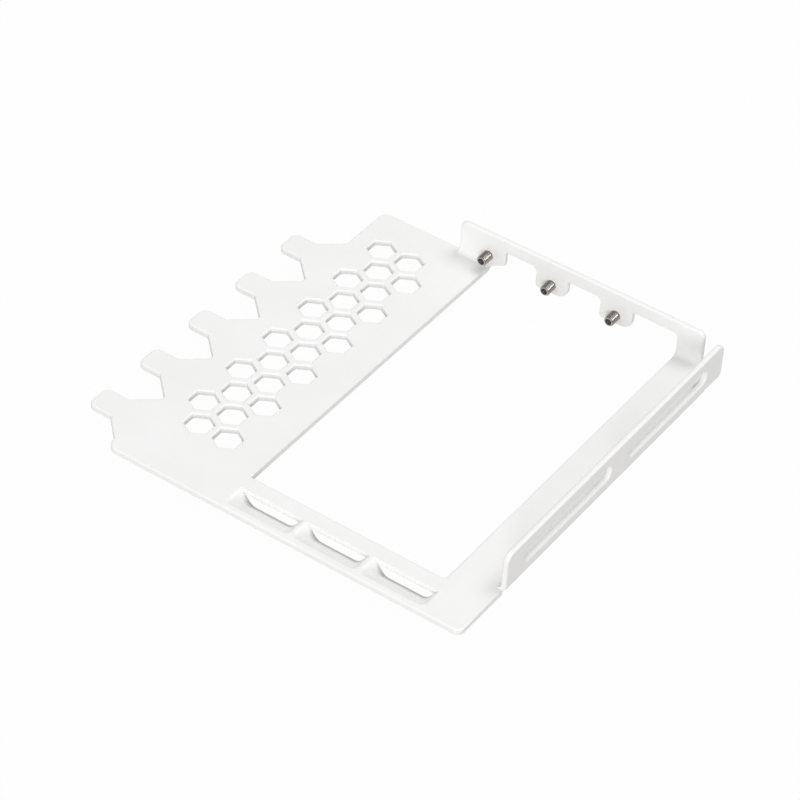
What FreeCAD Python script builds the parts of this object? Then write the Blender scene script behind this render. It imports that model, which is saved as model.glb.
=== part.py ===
# Vertical graphics-card mount: one folded sheet bracket with three pressed-in studs.
# Millimetres. While it is being drawn, x runs from the tongue tips towards the screw flange,
# y from the front edge towards the back flange, and z = 0 is the underside of the flat sheet.
import FreeCAD, Part
import math
import os

Vec = FreeCAD.Vector

# Sheet
sheet = 1.6
bend_inner = 1.4
bend_outer = bend_inner + sheet
slot_pitch = 20.32
total_length = 122.7
total_depth = 121.4
relief_width = 0.25
bend_end = 0.6

# Flat plate outline
plate_left = 13.6
front_left_round = 3.0
front_right_round = 2.0
back_left_round = 2.5
front_right_inset = 0.95

# Tongues on the left edge
tongue_count = 5
tongue_first_y = 13.4
tongue_width = 7.9
tongue_root_x = 7.4
shoulder_back = 5.1
shoulder_front = 6.1
tongue_tip_round = 2.0
tongue_root_round = 0.8
notch_round = 0.3

# Window for the card's connectors
window_width = 58.9
window_strip = 14.2
window_front = 13.2
window_left_round = 0.3
window_right_round = 1.2

# Honeycomb vent
hex_flats = 7.1
hex_pitch = 9.07
vent_left_margin = 5.45
vent_right_margin = 9.8
vent_front_margin = 16.8
vent_back_margin = 9.9

# Pressed louvers that take the card bracket's tongues
louver_count = 3
louver_middle_inset = 30.3
lance_y = 8.5
ramp_front_y = 1.95
lip_gap = 2.7
lip_half = 6.2
louver_side_slope = 0.75
louver_round = 2.0
louver_crease_round = 1.3
louver_lid = 1.0

# Back flange
left_leg = 10.05
right_leg = 7.75
back_top = 12.2
back_corner_round = 2.0
arch_top = 8.25
lobe_bottom = 2.0
lobe_half = 5.05
lobe_left_round = 0.8
lobe_right_round = 3.5
arch_left_round = 0.7
arch_right_round = 1.8
left_lobe_half = 5.35
left_lobe_low = 3.75
left_lobe_round = 0.8

# Studs pressed into the lobes
stud_count = 3
stud_names = ["left", "middle", "right"]
stud_middle_inset = 19.65
stud_z = 5.0
stud_diameter = 3.0
stud_reach = 3.6
stud_chamfer = 0.3
stud_dish_diameter = 1.8
stud_dish_depth = 0.4
stud_neck_diameter = 3.4
stud_head_diameter = 4.6
stud_head_height = 0.8
stud_clearance = 0.05

# Screw flange on the right
screw_front = 18.3
screw_bend_inset = 10.2
screw_back_inset = 1.8
screw_top = 12.95
screw_corner_round = 2.5
screw_low_round = 1.5
corner_relief_round = 1.0
screw_slot_height = 4.5
screw_slot_z = 7.4
slot_front_margin = 7.5
slot_front_length = 39.7
slot_web = 7.9
slot_back_margin = 8.1

# Points closer than this count as one
touching = 0.01

# Places that follow from the sizes above
window_right = total_length - window_strip
window_left = window_right - window_width
back_left = window_left - left_leg
back_right = window_right + right_leg
back_inner_y = total_depth - sheet
back_bend_y = total_depth - bend_outer
screw_bend_x = total_length - bend_outer
screw_bend_back = total_depth - screw_bend_inset
screw_back = total_depth - screw_back_inset


def outline(corners):
    """Closed wire through (a, b, radius) corners; a radius above zero rounds its corner."""
    count = len(corners)
    starts = []
    ends = []
    arcs = []
    for i in range(count):
        a, b, radius = corners[i]
        here = Vec(a, b, 0)
        before = Vec(corners[i - 1][0], corners[i - 1][1], 0) - here
        after = Vec(corners[(i + 1) % count][0], corners[(i + 1) % count][1], 0) - here
        if radius == 0:
            starts.append(here)
            ends.append(here)
            arcs.append(None)
            continue
        before.normalize()
        after.normalize()
        half_angle = before.getAngle(after) / 2
        reach = radius / math.tan(half_angle)
        middle = before + after
        middle.normalize()
        starts.append(here + before * reach)
        ends.append(here + after * reach)
        arcs.append(here + middle * (radius / math.sin(half_angle) - radius))
    edges = []
    for i in range(count):
        if arcs[i] is not None:
            edges.append(Part.Arc(starts[i], arcs[i], ends[i]).toShape())
        following = starts[(i + 1) % count]
        if ends[i].distanceToPoint(following) > touching:
            edges.append(Part.makeLine(ends[i], following))
    return Part.Wire(edges)


def slab_xy(corners, z, thickness):
    """Flat slab drawn in x, y."""
    face = Part.Face(outline(corners))
    face.translate(Vec(0, 0, z))
    return face.extrude(Vec(0, 0, thickness))


def slab_xz(corners, y, thickness):
    """Upright slab drawn in x, z and lying towards the back from y."""
    face = Part.Face(outline(corners))
    face.rotate(Vec(0, 0, 0), Vec(1, 0, 0), 90)
    face.translate(Vec(0, y, 0))
    return face.extrude(Vec(0, thickness, 0))


def slab_yz(corners, x, thickness):
    """Upright slab drawn in y, z and lying towards the right from x."""
    face = Part.Face(outline(corners))
    face.rotate(Vec(0, 0, 0), Vec(1, 1, 1), 120)
    face.translate(Vec(x, 0, 0))
    return face.extrude(Vec(thickness, 0, 0))


def bend_corners(outer):
    """Quarter bend, drawn as (distance, height), from the flat sheet up to an outer face at outer."""
    return [
        (outer - bend_outer, 0, 0),
        (outer, 0, bend_outer),
        (outer, bend_outer, 0),
        (outer - sheet, bend_outer, 0),
        (outer - sheet, sheet, bend_inner),
        (outer - bend_outer, sheet, 0),
    ]


def tongue_corners():
    """Left edge with its tongues, from the back to the front."""
    half = tongue_width / 2
    corners = []
    for k in reversed(range(tongue_count)):
        y = tongue_first_y + k * slot_pitch
        corners.append((plate_left, y + half + shoulder_back, notch_round))
        corners.append((tongue_root_x, y + half, tongue_root_round))
        corners.append((0, y + half, tongue_tip_round))
        corners.append((0, y - half, tongue_tip_round))
        corners.append((tongue_root_x, y - half, tongue_root_round))
        corners.append((plate_left, y - half - shoulder_front, notch_round))
    return corners


def flat_plate():
    """Plate with the window open at the back, between the two legs of the back flange."""
    front_right = total_length - front_right_inset
    relief_left = back_left - relief_width
    bend_front = back_bend_y - bend_end
    corners = [
        (plate_left, 0, front_left_round),
        (front_right, 0, front_right_round),
        (front_right, screw_front, 0),
        (screw_bend_x, screw_front, 0),
        (screw_bend_x, screw_bend_back, 0),
        (screw_bend_x - bend_end, screw_bend_back, 0),
        (screw_bend_x - bend_end, bend_front, corner_relief_round),
        (back_right, bend_front, 0),
        (back_right, back_bend_y, 0),
        (window_right, back_bend_y, 0),
        (window_right, window_front, window_right_round),
        (window_left, window_front, window_left_round),
        (window_left, back_bend_y, 0),
        (back_left, back_bend_y, 0),
        (back_left, bend_front, 0),
        (relief_left, bend_front, 0),
        (relief_left, total_depth, 0),
        (plate_left, total_depth, back_left_round),
    ]
    return slab_xy(corners + tongue_corners(), 0, sheet)


def honeycomb():
    """Hexagonal holes in staggered rows, corners towards the front and the back."""
    row_pitch = hex_pitch * math.sqrt(3) / 2
    corner_radius = hex_flats / math.sqrt(3)
    first_x = plate_left + vent_left_margin + hex_flats / 2
    last_x = window_left - vent_right_margin - hex_flats / 2
    first_y = vent_front_margin + corner_radius
    last_y = total_depth - vent_back_margin - corner_radius
    rows = math.floor((last_y - first_y) / row_pitch) + 1
    holes = []
    for row in range(rows):
        x = first_x + (row % 2) * hex_pitch / 2
        y = last_y - row * row_pitch
        while x <= last_x:
            corners = []
            for k in range(6):
                angle = math.radians(30 + 60 * k)
                corners.append((x + corner_radius * math.cos(angle), y + corner_radius * math.sin(angle), 0))
            holes.append(slab_xy(corners, -sheet, 3 * sheet))
            x += hex_pitch
    return holes


def louver_half(z):
    """Half width of a louver's pocket at the height z."""
    return lip_half + (z + lip_gap) * louver_side_slope


def louver(x, offset, top):
    """Pocket of one louver up to the height top, its ramp and its sides pushed out by offset."""
    slope = (lip_gap + sheet) / (lance_y - ramp_front_y)
    bottom = -lip_gap - offset * math.hypot(1, slope)
    run = (top - bottom) / slope
    push = offset * math.hypot(1, louver_side_slope)
    top_half = louver_half(top) + push
    bottom_half = louver_half(bottom) + push
    sides = [
        (x - top_half, top, 0),
        (x - bottom_half, bottom, 0),
        (x + bottom_half, bottom, 0),
        (x + top_half, top, 0),
    ]
    ramp = [(lance_y - run, top, 0), (lance_y, bottom, 0), (lance_y, top, 0)]
    pocket = slab_xz(sides, lance_y - run, run).common(slab_yz(ramp, x - top_half, 2 * top_half))
    slanted = []
    for edge in pocket.Edges:
        along = edge.Vertexes[1].Point - edge.Vertexes[0].Point
        if min(abs(along.x), abs(along.y), abs(along.z)) > touching:
            slanted.append(edge)
    return pocket.makeFillet(louver_round + offset, slanted)


def louver_creases(body, x):
    """Edges where the top of the sheet turns down into the louver at x."""
    half = louver_half(sheet)
    creases = []
    for edge in body.Edges:
        box = edge.BoundBox
        on_top = abs(box.ZMin - sheet) < touching and abs(box.ZMax - sheet) < touching
        before_lance = ramp_front_y - touching < box.YMin < lance_y - touching
        beside = x - half - touching < box.XMin and box.XMax < x + half + touching
        if on_top and before_lance and beside:
            creases.append(edge)
    return creases


def left_lobe_foot(z):
    """Place of the left lobe's slanted foot at the height z; it rises from the window's left edge."""
    reach = stud_x(0) + left_lobe_half - window_left
    return window_left + reach * (z - sheet) / (left_lobe_low - sheet)


def back_flange():
    """Upright back flange: two legs, and the lobes hanging between them."""
    corners = [
        (back_left, bend_outer, 0),
        (back_left, back_top, back_corner_round),
        (back_right, back_top, back_corner_round),
        (back_right, bend_outer, 0),
        (window_right, bend_outer, 0),
        (window_right, arch_top, arch_right_round),
    ]
    for k in reversed(range(1, stud_count)):
        x = stud_x(k)
        corners.append((x + lobe_half, arch_top, arch_left_round))
        corners.append((x + lobe_half, lobe_bottom, lobe_right_round))
        corners.append((x - lobe_half, lobe_bottom, lobe_left_round))
        corners.append((x - lobe_half, arch_top, arch_right_round))
    corners.append((left_lobe_foot(left_lobe_low), arch_top, arch_left_round))
    corners.append((left_lobe_foot(left_lobe_low), left_lobe_low, left_lobe_round))
    corners.append((left_lobe_foot(bend_outer), bend_outer, 0))
    return slab_xz(corners, back_inner_y, sheet)


def left_bend():
    """Bend of the left leg, running on below the left lobe to the lobe's slanted foot."""
    end = left_lobe_foot(bend_outer)
    below_foot = [
        (window_left, -sheet, 0),
        (end, -sheet, 0),
        (end, bend_outer, 0),
        (window_left, sheet, 0),
    ]
    bend = slab_yz(bend_corners(total_depth), back_left, end - back_left)
    return bend.cut(slab_xz(below_foot, back_bend_y - sheet, bend_outer + 2 * sheet))


def screw_flange():
    """Upright screw flange with its two slots."""
    corners = [
        (screw_front, bend_outer, 0),
        (screw_front, screw_top, screw_corner_round),
        (screw_back, screw_top, screw_corner_round),
        (screw_back, lobe_bottom, screw_low_round),
        (screw_bend_back + bend_end, lobe_bottom, 0),
        (screw_bend_back + bend_end, bend_outer, 0),
    ]
    flange = slab_yz(corners, total_length - sheet, sheet)
    low = screw_slot_z - screw_slot_height / 2
    high = screw_slot_z + screw_slot_height / 2
    end_round = screw_slot_height / 2
    slot_1_start = screw_front + slot_front_margin
    slot_1_stop = slot_1_start + slot_front_length
    slot_2_start = slot_1_stop + slot_web
    slot_2_stop = screw_back - slot_back_margin
    for start, stop in [(slot_1_start, slot_1_stop), (slot_2_start, slot_2_stop)]:
        slot = [(start, low, end_round), (stop, low, end_round), (stop, high, end_round), (start, high, end_round)]
        flange = flange.cut(slab_yz(slot, total_length - 2 * sheet, 3 * sheet))
    return flange


def stud_x(k):
    """Distance of stud k from the tongue tips."""
    return window_left + stud_middle_inset + (k - (stud_count - 1) / 2) * slot_pitch


def turned(profile, x):
    """Solid turned about the stud axis at x from (radius, y) points."""
    points = [Vec(x + radius, y, stud_z) for radius, y in profile]
    face = Part.Face(Part.makePolygon(points + [points[0]]))
    return face.revolve(Vec(x, 0, stud_z), Vec(0, 1, 0), 360)


def stud_hole(x):
    """Stepped hole for one stud, with the clearance round it."""
    seat_y = total_depth - stud_head_height
    neck = stud_neck_diameter / 2 + stud_clearance
    head = stud_head_diameter / 2 + stud_clearance
    profile = [
        (0, back_inner_y - sheet),
        (neck, back_inner_y - sheet),
        (neck, seat_y),
        (head, seat_y),
        (head, total_depth + sheet),
        (0, total_depth + sheet),
    ]
    return turned(profile, x)


def stud(x):
    """Flush-head stud: head, neck in the sheet, and a plain shank with a chamfered, dished end."""
    end_y = back_inner_y - stud_reach
    seat_y = total_depth - stud_head_height
    shank = stud_diameter / 2
    neck = stud_neck_diameter / 2
    head = stud_head_diameter / 2
    profile = [
        (0, end_y + stud_dish_depth),
        (stud_dish_diameter / 2, end_y),
        (shank - stud_chamfer, end_y),
        (shank, end_y + stud_chamfer),
        (shank, back_inner_y),
        (neck, back_inner_y),
        (neck, seat_y),
        (head, seat_y),
        (head, total_depth),
        (0, total_depth),
    ]
    return turned(profile, x)


def bracket():
    """The whole folded sheet."""
    louvers = []
    for k in range(louver_count):
        offset = (k - (louver_count - 1) / 2) * slot_pitch
        louvers.append(window_left + louver_middle_inset + offset)
    body = flat_plate()
    body = body.multiFuse([louver(x, sheet, sheet / 2) for x in louvers])
    body = body.cut([louver(x, 0, sheet + louver_lid) for x in louvers]).removeSplitter()
    creases = []
    for x in louvers:
        creases.extend(louver_creases(body, x))
    body = body.makeFillet(louver_crease_round, creases)
    body = body.cut(honeycomb())
    right_bend = slab_yz(bend_corners(total_depth), window_right, back_right - window_right)
    screw_bend = slab_xz(bend_corners(total_length), screw_front, screw_bend_back - screw_front)
    body = body.multiFuse([left_bend(), right_bend, screw_bend, back_flange(), screw_flange()])
    body = body.cut([stud_hole(stud_x(k)) for k in range(stud_count)])
    return body.removeSplitter()


# The origin goes to the middle of the bounding box's underside.
ramp_rise = lip_gap + sheet
ramp_run = lance_y - ramp_front_y
lip_underside = -lip_gap - sheet * math.hypot(ramp_rise, ramp_run) / ramp_run
to_origin = Vec(-total_length / 2, -total_depth / 2, -lip_underside)

os.makedirs("parts", exist_ok=True)
shapes = {"bracket": bracket()}
for k in range(stud_count):
    shapes["stud_" + stud_names[k]] = stud(stud_x(k))
for name, shape in shapes.items():
    shape.translate(to_origin)
    shape.exportStep("parts/" + name + ".step")
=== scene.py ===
import math

import bmesh
import bpy
from mathutils import Matrix, Vector
from mathutils.kdtree import KDTree

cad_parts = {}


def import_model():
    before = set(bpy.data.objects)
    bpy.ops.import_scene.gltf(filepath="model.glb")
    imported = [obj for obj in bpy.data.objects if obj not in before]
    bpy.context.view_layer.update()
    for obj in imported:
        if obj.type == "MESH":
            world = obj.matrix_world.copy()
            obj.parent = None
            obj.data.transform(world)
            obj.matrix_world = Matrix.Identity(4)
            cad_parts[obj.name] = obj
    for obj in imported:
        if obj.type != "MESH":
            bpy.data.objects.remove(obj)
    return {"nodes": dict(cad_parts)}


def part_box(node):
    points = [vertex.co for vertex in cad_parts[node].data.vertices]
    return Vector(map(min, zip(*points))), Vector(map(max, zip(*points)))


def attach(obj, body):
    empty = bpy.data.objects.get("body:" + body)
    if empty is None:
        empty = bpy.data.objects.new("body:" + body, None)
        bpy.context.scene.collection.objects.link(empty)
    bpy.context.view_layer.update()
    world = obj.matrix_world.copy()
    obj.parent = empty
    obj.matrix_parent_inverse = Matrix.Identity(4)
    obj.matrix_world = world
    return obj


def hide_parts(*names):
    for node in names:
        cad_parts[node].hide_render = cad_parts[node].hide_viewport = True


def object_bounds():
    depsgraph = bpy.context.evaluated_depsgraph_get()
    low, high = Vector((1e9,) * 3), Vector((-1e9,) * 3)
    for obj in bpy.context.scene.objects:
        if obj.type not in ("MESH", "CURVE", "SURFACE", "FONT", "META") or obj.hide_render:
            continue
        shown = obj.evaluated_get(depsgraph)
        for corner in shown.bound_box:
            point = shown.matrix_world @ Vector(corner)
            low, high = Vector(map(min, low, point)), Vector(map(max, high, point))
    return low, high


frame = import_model()
cad_low, cad_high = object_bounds()

# Looks of the vertical graphics card mount, in metres and in the frame of the CAD model
MM = 0.001
SHEET = 1.6 * MM

# Points closer than this count as one
NEAR = 0.05 * MM

# Camera of the photograph
CAMERA_AZIMUTH = 32.7496
CAMERA_ELEVATION = 41.297
CAMERA_ROLL = 3.6326
CAMERA_DISTANCE = 857.37 * MM
CAMERA_TARGET = Vector((0.2846, -0.0409, 5.414)) * MM
CLIP_START = 10 * MM
CLIP_END = 20
SENSOR_WIDTH = 36.0
FOCAL_PIXELS = 3327.27
IMAGE_PIXELS = 800

# Cut edges of the sheet, rounded by punching and coating; near a tight spot they stay as they are
EDGE_ROUND = 0.5 * MM
EDGE_STEPS = 3
EDGE_TRIES = 8
EDGE_PROFILE = 0.5
TIGHT_REACH = 0.5 * MM
TIGHT_GROWTH = 0.5
SHARP_ANGLE = math.radians(40)
FLAT_ANGLE = math.radians(0.6)
FOLD_ANGLE = math.radians(150)
WELD_DISTANCE = 0.01 * MM

# Relief slit beside the back flange's left end, nearly closed by the coating
SLIT_RIGHT = -21.8 * MM
SLIT_WIDTH = 0.25 * MM
SLIT_LENGTH = 3.6 * MM
SLIT_TOP = 7.6 * MM
SLIT_OPEN = 0.01 * MM

# Underside of the flat plate, where the punch leaves the edges sharp
UNDERSIDE = 4.614 * MM

# Space around the cut edges of the louvers' mouths, which stay sharp
MOUTH_FRONT = -52.9 * MM
MOUTH_BACK = -51.9 * MM
MOUTH_LEFT = -14 * MM
MOUTH_RIGHT = 52 * MM

# Studs
STUD_NAMES = ("stud_left", "stud_middle", "stud_right")
SHANK_RADIUS = 1.5 * MM
SHANK_LENGTH = 3.6 * MM
SHANK_CHAMFER = 0.3 * MM
DISH_RADIUS = 0.95 * MM
DISH_DEPTH = 0.6 * MM
DISH_STEPS = 4
NECK_RADIUS = 1.7 * MM
HEAD_RADIUS = 2.3 * MM
HEAD_HEIGHT = 0.8 * MM
HEAD_CHAMFER = 0.1 * MM
HEAD_CLEARANCE = 0.05 * MM
COLLAR_RADIUS = 1.85 * MM
COLLAR_PROUD = 0.03 * MM
THREAD_PITCH = 0.5 * MM
THREAD_DEPTH = 0.225 * MM
THREAD_STEPS = 10
THREAD_FLAT = 1 / 7
THREAD_FADE = 0.5 * MM
STUD_SEGMENTS = 48
PLATED, RECESS, COATED = range(3)

# White powder coat
COAT_DARK = (0.860, 0.858, 0.852, 1)
COAT_PALE = (0.885, 0.885, 0.882, 1)
COAT_CLOUD_SCALE = 60
COAT_CLOUD_DETAIL = 4
COAT_CLOUD_SPAN = (0.3, 0.7)
COAT_PEEL_SCALE = 3000
COAT_PEEL_DETAIL = 2
COAT_PEEL_STRENGTH = 0.06
COAT_PEEL_HEIGHT = 0.05 * MM
COAT_ROUGHNESS = (0.38, 0.52)
COAT_SPECULAR = 0.4

# Bright plating, with painted shade darkening the roots of the thread
PLATING_DARK = (0.36, 0.335, 0.295, 1)
PLATING_PALE = (0.48, 0.452, 0.402, 1)
# Painted shade laid into the thread roots by their depth
PLATING_ROOT_SHADE = (0.08, 0.073, 0.063, 1)
PLATING_SCALE = 2500
PLATING_DETAIL = 3
PLATING_ROUGHNESS = (0.12, 0.3)
PLATING_METAL = 1.0

# Dull steel in the dished ends, coloured nearly black as painted shade in the hollow
# Painted shade: nearly black colour for the hollow of the dished ends
RECESS_DARK = (0.02, 0.019, 0.018, 1)
RECESS_PALE = (0.09, 0.085, 0.08, 1)
RECESS_SCALE = 4000
RECESS_DETAIL = 2
RECESS_ROUGHNESS = (0.4, 0.6)
RECESS_METAL = 0.6

# Floor and surroundings
FLOOR_HALF = 6
FLOOR_GAP = 0.2 * MM
FLOOR_PAINT = (0.5, 0.49, 0.48, 1)
FLOOR_WHITE_SHARE = 0.98
WORLD_COLOUR = (1, 1, 1, 1)
WORLD_LEVEL = 0.56

# Lamps: direction from the part, size, and share of full white that each gives a surface turned to it
LAMP_DISTANCE = 3.0
LAMPS = {
    "key": ((0.2, 0.38, 0.9), 1.7, 0.4),
    "front": ((0.38, -0.88, 0.27), 1.1, 0.44),
    "small": ((-0.09, -0.84, 0.53), 0.7, 0.08),
}

# Lowest and highest corner of each CAD stud
stud_boxes = {name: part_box(name) for name in STUD_NAMES}


def linked(name, data):
    """New object in the scene."""
    obj = bpy.data.objects.new(name, data)
    bpy.context.scene.collection.objects.link(obj)
    return obj


def piece_from_mesh(name, bm):
    """New object from a finished mesh, riding on the one body."""
    mesh = bpy.data.meshes.new(name)
    bm.to_mesh(mesh)
    bm.free()
    obj = linked(name, mesh)
    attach(obj, "root")
    return obj


def mark_edges(bm):
    """Smooth shading that breaks at sharp edges."""
    for face in bm.faces:
        face.smooth = True
    for edge in bm.edges:
        edge.smooth = edge.calc_face_angle(0) < SHARP_ANGLE


def at_slit(place):
    """Whether a point lies on the edge of the relief slit."""
    across = SLIT_RIGHT - SLIT_WIDTH - NEAR < place.x < SLIT_RIGHT + NEAR
    along = place.y > cad_high.y - SLIT_LENGTH - NEAR
    return across and along and place.z < SLIT_TOP


def at_mouth(place):
    """Whether a point lies on the edge of a louver's mouth."""
    return MOUTH_LEFT < place.x < MOUTH_RIGHT and MOUTH_FRONT < place.y < MOUTH_BACK


def at_stud(place):
    """Whether a point lies on the edge of a stud's hole."""
    for low, high in stud_boxes.values():
        axis = (low + high) / 2
        if math.hypot(place.x - axis.x, place.z - axis.z) < HEAD_RADIUS + HEAD_CLEARANCE + NEAR:
            return True
    return False


def kept_sharp(place):
    """Whether a point lies where the sheet's edges stay sharp."""
    underneath = abs(place.z - UNDERSIDE) < NEAR
    return underneath or at_mouth(place) or at_stud(place) or at_slit(place)


def spot_tree(spots):
    """Points in a form that is quick to search."""
    tree = KDTree(len(spots))
    for index, spot in enumerate(spots):
        tree.insert(spot, index)
    tree.balance()
    return tree


def folded_spots(bm):
    """Ends of the edges where the surface folds back on itself."""
    split = bm.copy()
    bmesh.ops.triangulate(split, faces=split.faces)
    folded = []
    for edge in split.edges:
        if len(edge.link_faces) == 2 and edge.calc_face_angle() > FOLD_ANGLE:
            folded.extend(vert.co.copy() for vert in edge.verts)
    split.free()
    return folded


def plain_sheet():
    """The CAD sheet with whole flat faces and a nearly closed relief slit."""
    bm = bmesh.new()
    bm.from_mesh(frame["nodes"]["bracket"].data)
    bmesh.ops.remove_doubles(bm, verts=bm.verts, dist=WELD_DISTANCE)
    bmesh.ops.dissolve_limit(bm, angle_limit=FLAT_ANGLE, verts=bm.verts, edges=bm.edges)
    for vert in bm.verts:
        if at_slit(vert.co) and vert.co.x < SLIT_RIGHT - SLIT_WIDTH / 2:
            vert.co.x = SLIT_RIGHT - SLIT_OPEN
    return bm


def rounded(plain, tight, reach):
    """Copy of the sheet with its sharp edges rounded, apart from those within reach of a tight spot."""
    bm = plain.copy()
    sharp = []
    for edge in bm.edges:
        if len(edge.link_faces) != 2 or edge.calc_face_angle() < SHARP_ANGLE:
            continue
        if all(kept_sharp(vert.co) for vert in edge.verts):
            continue
        if not any(tight.find_range(vert.co, reach) for vert in edge.verts):
            sharp.append(edge)
    bmesh.ops.bevel(
        bm,
        geom=sharp,
        offset=EDGE_ROUND,
        offset_type="OFFSET",
        segments=EDGE_STEPS,
        profile=EDGE_PROFILE,
        affect="EDGES",
        clamp_overlap=False,
    )
    return bm


def rounded_sheet():
    """The sheet rounded as far as no new fold appears; edges too tight to round stay as they are."""
    plain = plain_sheet()
    known = spot_tree(folded_spots(plain))
    spots = []
    for attempt in range(EDGE_TRIES):
        bm = rounded(plain, spot_tree(spots), TIGHT_REACH * (1 + TIGHT_GROWTH * attempt))
        folded = [spot for spot in folded_spots(bm) if not known.find_range(spot, NEAR)]
        if not folded:
            break
        spots.extend(folded)
    return bm


def held_inside(bm):
    """Moves points that the rounding pushed out of the CAD box back onto its sides."""
    for vert in bm.verts:
        for axis in range(3):
            vert.co[axis] = min(max(vert.co[axis], cad_low[axis]), cad_high[axis])


def coated_bracket():
    """The folded sheet with its coating, in the place of the CAD sheet."""
    bm = rounded_sheet()
    held_inside(bm)
    mark_edges(bm)
    obj = piece_from_mesh("bracket_coated", bm)
    normals = obj.modifiers.new("normals", "WEIGHTED_NORMAL")
    normals.keep_sharp = True
    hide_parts("bracket")
    return obj


def shank_radius(along, turn):
    """Radius of the threaded shank at a distance from its free end, at a share of a full turn."""
    phase = (along / THREAD_PITCH - turn) % 1
    flank = min(1, max(0, (abs(2 * phase - 1) - THREAD_FLAT) / (1 - 2 * THREAD_FLAT)))
    run_out = min(1, (SHANK_LENGTH - along) / THREAD_FADE)
    threaded = SHANK_RADIUS - THREAD_DEPTH * (1 - flank) * run_out
    return min(threaded, SHANK_RADIUS - SHANK_CHAMFER + along)


def stud_rings():
    """Rings of one stud from the dished end to the back: distance from the free end, radii, material."""
    length = SHANK_LENGTH + SHEET
    turns = [k / STUD_SEGMENTS for k in range(STUD_SEGMENTS)]
    rings = []
    for k in range(1, DISH_STEPS + 1):
        share = k / DISH_STEPS
        rings.append((DISH_DEPTH * (1 - share ** 2), [DISH_RADIUS * share] * STUD_SEGMENTS, RECESS))
    count = round(SHANK_LENGTH / THREAD_PITCH * THREAD_STEPS)
    for k in range(count):
        along = k * SHANK_LENGTH / count
        rings.append((along, [shank_radius(along, turn) for turn in turns], PLATED))
    plain = [
        (SHANK_LENGTH - COLLAR_PROUD, SHANK_RADIUS, PLATED),
        (SHANK_LENGTH - COLLAR_PROUD, NECK_RADIUS, COATED),
        (SHANK_LENGTH, COLLAR_RADIUS, COATED),
        (SHANK_LENGTH, NECK_RADIUS, COATED),
        (length - HEAD_HEIGHT, NECK_RADIUS, PLATED),
        (length - HEAD_HEIGHT, HEAD_RADIUS, PLATED),
        (length - HEAD_CHAMFER, HEAD_RADIUS, PLATED),
        (length, HEAD_RADIUS - HEAD_CHAMFER, PLATED),
    ]
    for along, radius, kind in plain:
        rings.append((along, [radius] * STUD_SEGMENTS, kind))
    return rings


def threaded_stud(name):
    """Stud with its thread cut, in the place of the plain CAD stud."""
    low, high = stud_boxes[name]
    axis = (low + high) / 2
    bm = bmesh.new()
    groove = bm.verts.layers.float.new("groove")
    loops = []
    kinds = []
    for along, radii, kind in stud_rings():
        loop = []
        for k, radius in enumerate(radii):
            angle = 2 * math.pi * k / STUD_SEGMENTS
            x = axis.x + radius * math.cos(angle)
            z = axis.z + radius * math.sin(angle)
            vert = bm.verts.new((x, low.y + along, z))
            # Depth into the thread, by which the plating paints shade into the roots
            if kind == PLATED and along > SHANK_CHAMFER:
                vert[groove] = min(1, max(0, (SHANK_RADIUS - radius) / THREAD_DEPTH))
            loop.append(vert)
        loops.append(loop)
        kinds.append(kind)
    for i in range(len(loops) - 1):
        for k in range(STUD_SEGMENTS):
            after = (k + 1) % STUD_SEGMENTS
            face = bm.faces.new((loops[i][k], loops[i + 1][k], loops[i + 1][after], loops[i][after]))
            face.material_index = kinds[i + 1]
    bottom = bm.verts.new((axis.x, low.y + DISH_DEPTH, axis.z))
    for k in range(STUD_SEGMENTS):
        face = bm.faces.new((bottom, loops[0][k], loops[0][(k + 1) % STUD_SEGMENTS]))
        face.material_index = RECESS
    bm.faces.new(loops[-1])
    bmesh.ops.recalc_face_normals(bm, faces=bm.faces)
    mark_edges(bm)
    obj = piece_from_mesh(name + "_threaded", bm)
    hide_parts(name)
    return obj


def shaded(name):
    """New material with a plain shader: the material, its nodes and links, and the shader."""
    material = bpy.data.materials.new(name)
    material.use_nodes = True
    tree = material.node_tree
    return material, tree, tree.nodes["Principled BSDF"]


def noise(tree, scale, detail):
    """Noise that is fixed to the piece, from 0 to 1."""
    place = tree.nodes.new("ShaderNodeTexCoord")
    texture = tree.nodes.new("ShaderNodeTexNoise")
    texture.inputs["Scale"].default_value = scale
    texture.inputs["Detail"].default_value = detail
    tree.links.new(place.outputs["Object"], texture.inputs["Vector"])
    return texture.outputs["Fac"]


def tinted(tree, share, dark, pale, span=(0, 1)):
    """Colour that goes from dark to pale while the share goes through the span."""
    ramp = tree.nodes.new("ShaderNodeValToRGB")
    for element, position, colour in zip(ramp.color_ramp.elements, span, (dark, pale)):
        element.position = position
        element.color = colour
    tree.links.new(share, ramp.inputs["Fac"])
    return ramp.outputs["Color"]


def spread(tree, share, low, high):
    """Number that goes from low to high while the share goes from 0 to 1."""
    scale = tree.nodes.new("ShaderNodeMapRange")
    scale.inputs["To Min"].default_value = low
    scale.inputs["To Max"].default_value = high
    tree.links.new(share, scale.inputs["Value"])
    return scale.outputs["Result"]


def socket(sockets, identifier):
    """Socket of a node by its identifier, for nodes that have several of one name."""
    return next(found for found in sockets if found.identifier == identifier)


def coat_material():
    """Satin white powder coat with a fine orange peel."""
    material, tree, shader = shaded("white_powder_coat")
    shader.inputs["Specular IOR Level"].default_value = COAT_SPECULAR
    cloud = noise(tree, COAT_CLOUD_SCALE, COAT_CLOUD_DETAIL)
    tree.links.new(tinted(tree, cloud, COAT_DARK, COAT_PALE, COAT_CLOUD_SPAN), shader.inputs["Base Color"])
    peel = noise(tree, COAT_PEEL_SCALE, COAT_PEEL_DETAIL)
    tree.links.new(spread(tree, peel, *COAT_ROUGHNESS), shader.inputs["Roughness"])
    bump = tree.nodes.new("ShaderNodeBump")
    bump.inputs["Strength"].default_value = COAT_PEEL_STRENGTH
    bump.inputs["Distance"].default_value = COAT_PEEL_HEIGHT
    tree.links.new(peel, bump.inputs["Height"])
    tree.links.new(bump.outputs["Normal"], shader.inputs["Normal"])
    return material


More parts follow.
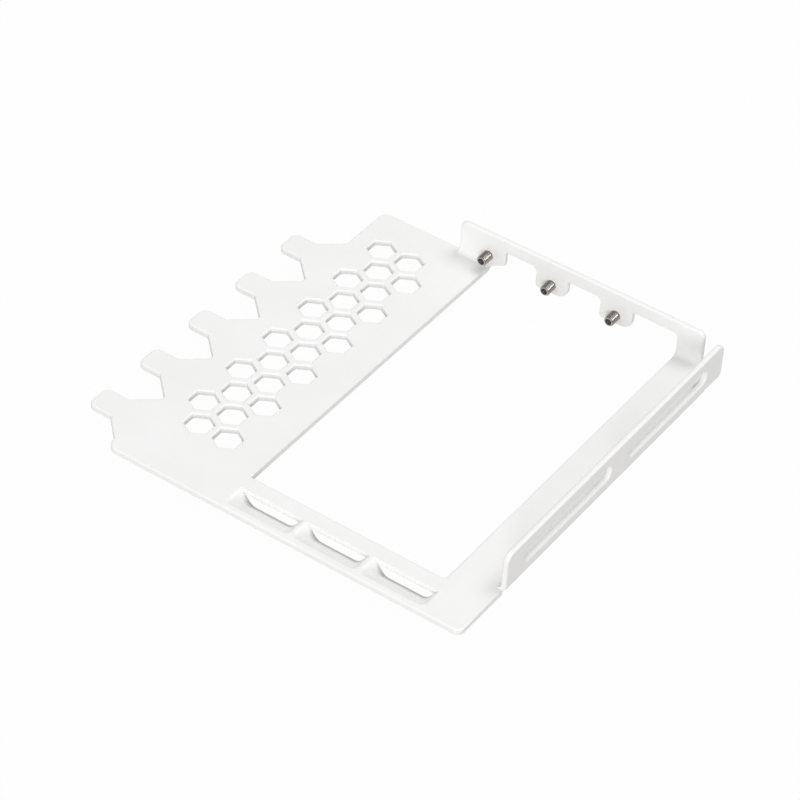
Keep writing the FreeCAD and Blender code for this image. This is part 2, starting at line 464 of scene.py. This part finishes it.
def plated_material():
    """Bright plated steel with fine tool marks, and painted shade that darkens the roots of the thread."""
    material, tree, shader = shaded("bright_plating")
    shader.inputs["Metallic"].default_value = PLATING_METAL
    marks = noise(tree, PLATING_SCALE, PLATING_DETAIL)
    depth = tree.nodes.new("ShaderNodeAttribute")
    depth.attribute_name = "groove"
    # Painted shade: the thread roots are darkened by their depth
    root_shade_mix = tree.nodes.new("ShaderNodeMix")
    root_shade_mix.data_type = "RGBA"
    socket(root_shade_mix.inputs, "B_Color").default_value = PLATING_ROOT_SHADE
    tree.links.new(depth.outputs["Fac"], socket(root_shade_mix.inputs, "Factor_Float"))
    tree.links.new(tinted(tree, marks, PLATING_DARK, PLATING_PALE), socket(root_shade_mix.inputs, "A_Color"))
    tree.links.new(socket(root_shade_mix.outputs, "Result_Color"), shader.inputs["Base Color"])
    tree.links.new(spread(tree, marks, *PLATING_ROUGHNESS), shader.inputs["Roughness"])
    return material


def recess_material():
    """Dull steel in the dished end of a stud, its colour painted nearly black as shade in the hollow."""
    material, tree, shader = shaded("painted_shade_recess")
    shader.inputs["Metallic"].default_value = RECESS_METAL
    grain = noise(tree, RECESS_SCALE, RECESS_DETAIL)
    # Painted shade: the nearly black colour stands for shade in the hollow
    tree.links.new(tinted(tree, grain, RECESS_DARK, RECESS_PALE), shader.inputs["Base Color"])
    tree.links.new(spread(tree, grain, *RECESS_ROUGHNESS), shader.inputs["Roughness"])
    return material


def camera():
    """Camera at the photograph's place, turned by its small roll."""
    azimuth = math.radians(CAMERA_AZIMUTH)
    elevation = math.radians(CAMERA_ELEVATION)
    roll = math.radians(CAMERA_ROLL)
    back = Vector((
        math.sin(azimuth) * math.cos(elevation),
        -math.cos(azimuth) * math.cos(elevation),
        math.sin(elevation),
    ))
    level = Vector((math.cos(azimuth), math.sin(azimuth), 0))
    rise = back.cross(level)
    right = math.cos(roll) * level + math.sin(roll) * rise
    up = math.cos(roll) * rise - math.sin(roll) * level
    data = bpy.data.cameras.new("camera")
    data.sensor_width = SENSOR_WIDTH
    data.sensor_fit = "HORIZONTAL"
    data.lens = SENSOR_WIDTH * FOCAL_PIXELS / IMAGE_PIXELS
    data.clip_start = CLIP_START
    data.clip_end = CLIP_END
    obj = linked("camera", data)
    turn = Matrix((right, up, back)).transposed().to_4x4()
    obj.matrix_world = Matrix.Translation(CAMERA_TARGET + back * CAMERA_DISTANCE) @ turn
    bpy.context.scene.camera = obj


def area_light(name, direction, size, level):
    """Soft square lamp facing the part."""
    towards = Vector(direction).normalized()
    data = bpy.data.lights.new(name, "AREA")
    data.shape = "SQUARE"
    data.size = size
    data.energy = level * (math.pi * LAMP_DISTANCE) ** 2
    obj = linked(name, data)
    obj.location = towards * LAMP_DISTANCE
    obj.rotation_euler = towards.to_track_quat("Z", "Y").to_euler()


def larger(tree, first, second):
    """Larger of two numbers."""
    node = tree.nodes.new("ShaderNodeMath")
    node.operation = "MAXIMUM"
    tree.links.new(first, node.inputs[0])
    tree.links.new(second, node.inputs[1])
    return node.outputs[0]


def floor_material():
    """Pale paint that reads as white to the camera and in reflections."""
    material, tree, shader = shaded("floor")
    tree.nodes.remove(shader)
    paint = tree.nodes.new("ShaderNodeBsdfDiffuse")
    paint.inputs["Color"].default_value = FLOOR_PAINT
    glow = tree.nodes.new("ShaderNodeEmission")
    path = tree.nodes.new("ShaderNodeLightPath")
    seen = larger(tree, path.outputs["Is Camera Ray"], path.outputs["Is Glossy Ray"])
    seen = larger(tree, seen, path.outputs["Is Transmission Ray"])
    share = tree.nodes.new("ShaderNodeMath")
    share.operation = "MULTIPLY"
    share.inputs[1].default_value = FLOOR_WHITE_SHARE
    tree.links.new(seen, share.inputs[0])
    mix = tree.nodes.new("ShaderNodeMixShader")
    tree.links.new(share.outputs[0], mix.inputs["Fac"])
    tree.links.new(paint.outputs[0], mix.inputs[1])
    tree.links.new(glow.outputs[0], mix.inputs[2])
    tree.links.new(mix.outputs[0], tree.nodes["Material Output"].inputs["Surface"])
    return material


def floor():
    """Wide floor just under the part, which keeps a faint shadow."""
    bm = bmesh.new()
    bmesh.ops.create_grid(bm, x_segments=1, y_segments=1, size=FLOOR_HALF)
    mesh = bpy.data.meshes.new("floor")
    bm.to_mesh(mesh)
    bm.free()
    mesh.materials.append(floor_material())
    obj = linked("floor", mesh)
    obj.location.z = cad_low.z - FLOOR_GAP


def world():
    """Even pale surroundings."""
    made = bpy.data.worlds.new("world")
    bpy.context.scene.world = made
    made.use_nodes = True
    light = made.node_tree.nodes["Background"]
    light.inputs["Color"].default_value = WORLD_COLOUR
    light.inputs["Strength"].default_value = WORLD_LEVEL


coat = coat_material()
plating = plated_material()
painted_shade_recess = recess_material()
coated_bracket().data.materials.append(coat)
for stud_name in STUD_NAMES:
    stud_mesh = threaded_stud(stud_name).data
    stud_mesh.materials.append(plating)
    stud_mesh.materials.append(painted_shade_recess)
    stud_mesh.materials.append(coat)

camera()
floor()
world()
for lamp_name, (lamp_direction, lamp_size, lamp_level) in LAMPS.items():
    area_light(lamp_name, lamp_direction, lamp_size, lamp_level)

bpy.context.scene.view_settings.view_transform = "Standard"
